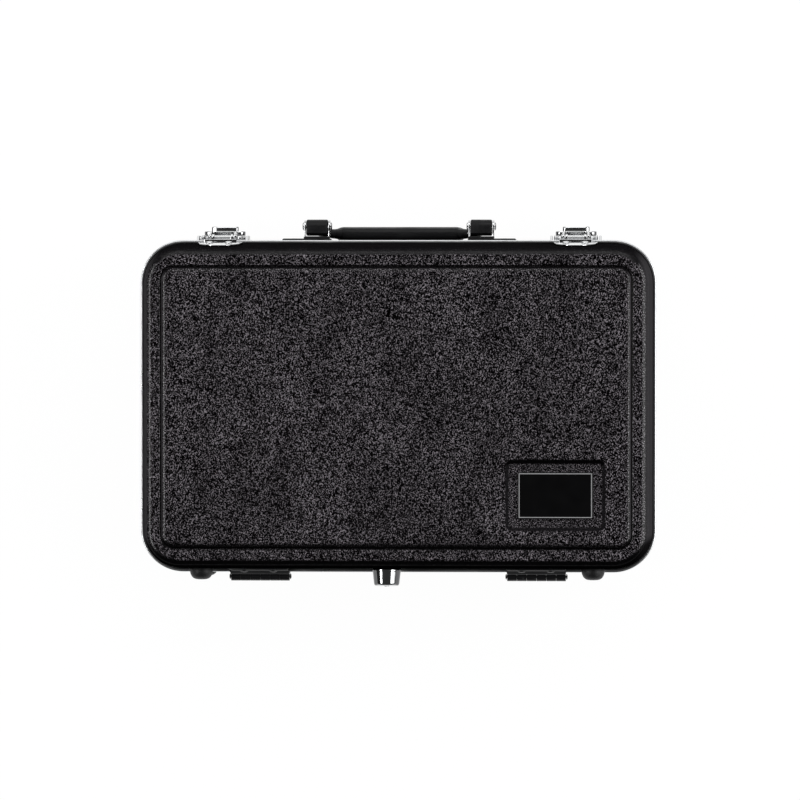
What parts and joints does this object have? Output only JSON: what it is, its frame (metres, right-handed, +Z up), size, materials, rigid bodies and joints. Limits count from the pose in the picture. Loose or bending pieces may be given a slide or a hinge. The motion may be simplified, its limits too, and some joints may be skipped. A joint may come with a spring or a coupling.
{
  "type": "clarinet case",
  "caption": "Hard clarinet case with moulded shells, a hinged lid, draw latches, a folding handle and a plush tray with wells for the instrument.",
  "frame": {"origin": "middle of the bottom panel's flat face, which the case rests on when it lies with its lid up", "axes": "+X along the case's length, -Y towards the latches and handle, +Y towards the hinges, +Z up through the lid"},
  "size_m": [0.3502, 0.2485, 0.1],
  "materials": {
    "shell_plastic": "moulded plastic with a haircell grain",
    "valance": "satin extrusion",
    "plush": "short pile over foam",
    "chrome": "bright plating",
    "black_steel": "black lacquer",
    "handle_plastic": "smooth moulded plastic",
    "rubber": "matt rubber",
    "plate": "black plate with a fine pale border"
  },
  "bodies": {
    "base": {"bottom_shell": "shell_plastic", "bottom_valance": "valance", "instrument_tray": "plush", "latch_base_left": "chrome", "latch_base_right": "chrome", "latch_pivot_pin_left": "chrome", "latch_pivot_pin_right": "chrome", "latch_rivet_left_1": "chrome", "latch_rivet_left_2": "chrome", "latch_rivet_right_1": "chrome", "latch_rivet_right_2": "chrome", "handle_plinth_left": "handle_plastic", "handle_plinth_right": "handle_plastic", "handle_clip_left": "chrome", "handle_clip_right": "chrome", "handle_pin_left": "chrome", "handle_pin_right": "chrome", "handle_rivet_left_1": "chrome", "handle_rivet_left_2": "chrome", "handle_rivet_right_1": "chrome", "handle_rivet_right_2": "chrome", "hinge_lower_leaf_left": "black_steel", "hinge_lower_leaf_right": "black_steel", "hinge_pin_left": "black_steel", "hinge_pin_right": "black_steel", "hinge_lower_rivet_left_1": "black_steel", "hinge_lower_rivet_left_2": "black_steel", "hinge_lower_rivet_right_1": "black_steel", "hinge_lower_rivet_right_2": "black_steel", "lower_foot_left": "rubber", "lower_foot_right": "rubber"},
    "lid": {"lid_shell": "shell_plastic", "lid_valance": "valance", "lid_lining": "plush", "nameplate": "plate", "keeper_left": "chrome", "keeper_right": "chrome", "keeper_rivet_left_1": "chrome", "keeper_rivet_left_2": "chrome", "keeper_rivet_right_1": "chrome", "keeper_rivet_right_2": "chrome", "hinge_upper_leaf_left": "black_steel", "hinge_upper_leaf_right": "black_steel", "hinge_upper_rivet_left_1": "black_steel", "hinge_upper_rivet_left_2": "black_steel", "hinge_upper_rivet_right_1": "black_steel", "hinge_upper_rivet_right_2": "black_steel", "upper_foot_left": "rubber", "upper_foot_right": "rubber", "centre_foot": "chrome", "centre_foot_stud": "chrome"},
    "lever_left": {"latch_lever_left": "chrome", "latch_hook_pin_left": "chrome"},
    "lever_right": {"latch_lever_right": "chrome", "latch_hook_pin_right": "chrome"},
    "hook_left": {"latch_hook_left": "chrome"},
    "hook_right": {"latch_hook_right": "chrome"},
    "handle_body": {"handle": "handle_plastic"}
  },
  "joints": [
    {"name": "lid_hinge", "type": "hinge", "parent": "base", "child": "lid", "pos_m": [0, 0.11605, 0.054], "axis": [-1, 0, 0], "range_deg": [0, 100]},
    {"name": "lever_left_pivot", "type": "hinge", "parent": "base", "child": "lever_left", "pos_m": [-0.1205, -0.11495, 0.042], "axis": [-1, 0, 0], "range_deg": [0, 110]},
    {"name": "lever_right_pivot", "type": "hinge", "parent": "base", "child": "lever_right", "pos_m": [0.1205, -0.11495, 0.042], "axis": [-1, 0, 0], "range_deg": [0, 110]},
    {"name": "hook_left_pivot", "type": "hinge", "parent": "lever_left", "child": "hook_left", "pos_m": [-0.1205, -0.11415, 0.034], "axis": [-1, 0, 0], "range_deg": [-121, 0]},
    {"name": "hook_right_pivot", "type": "hinge", "parent": "lever_right", "child": "hook_right", "pos_m": [0.1205, -0.11415, 0.034], "axis": [-1, 0, 0], "range_deg": [-121, 0]},
    {"name": "handle_pivot", "type": "hinge", "parent": "base", "child": "handle_body", "pos_m": [0, -0.12225, 0.038], "axis": [-1, 0, 0], "range_deg": [0, 175]}
  ],
  "couplings": [
    {"joint": "hook_left_pivot", "follows": "lever_left_pivot", "ratio": -1.1},
    {"joint": "hook_right_pivot", "follows": "lever_right_pivot", "ratio": -1.1}
  ]
}
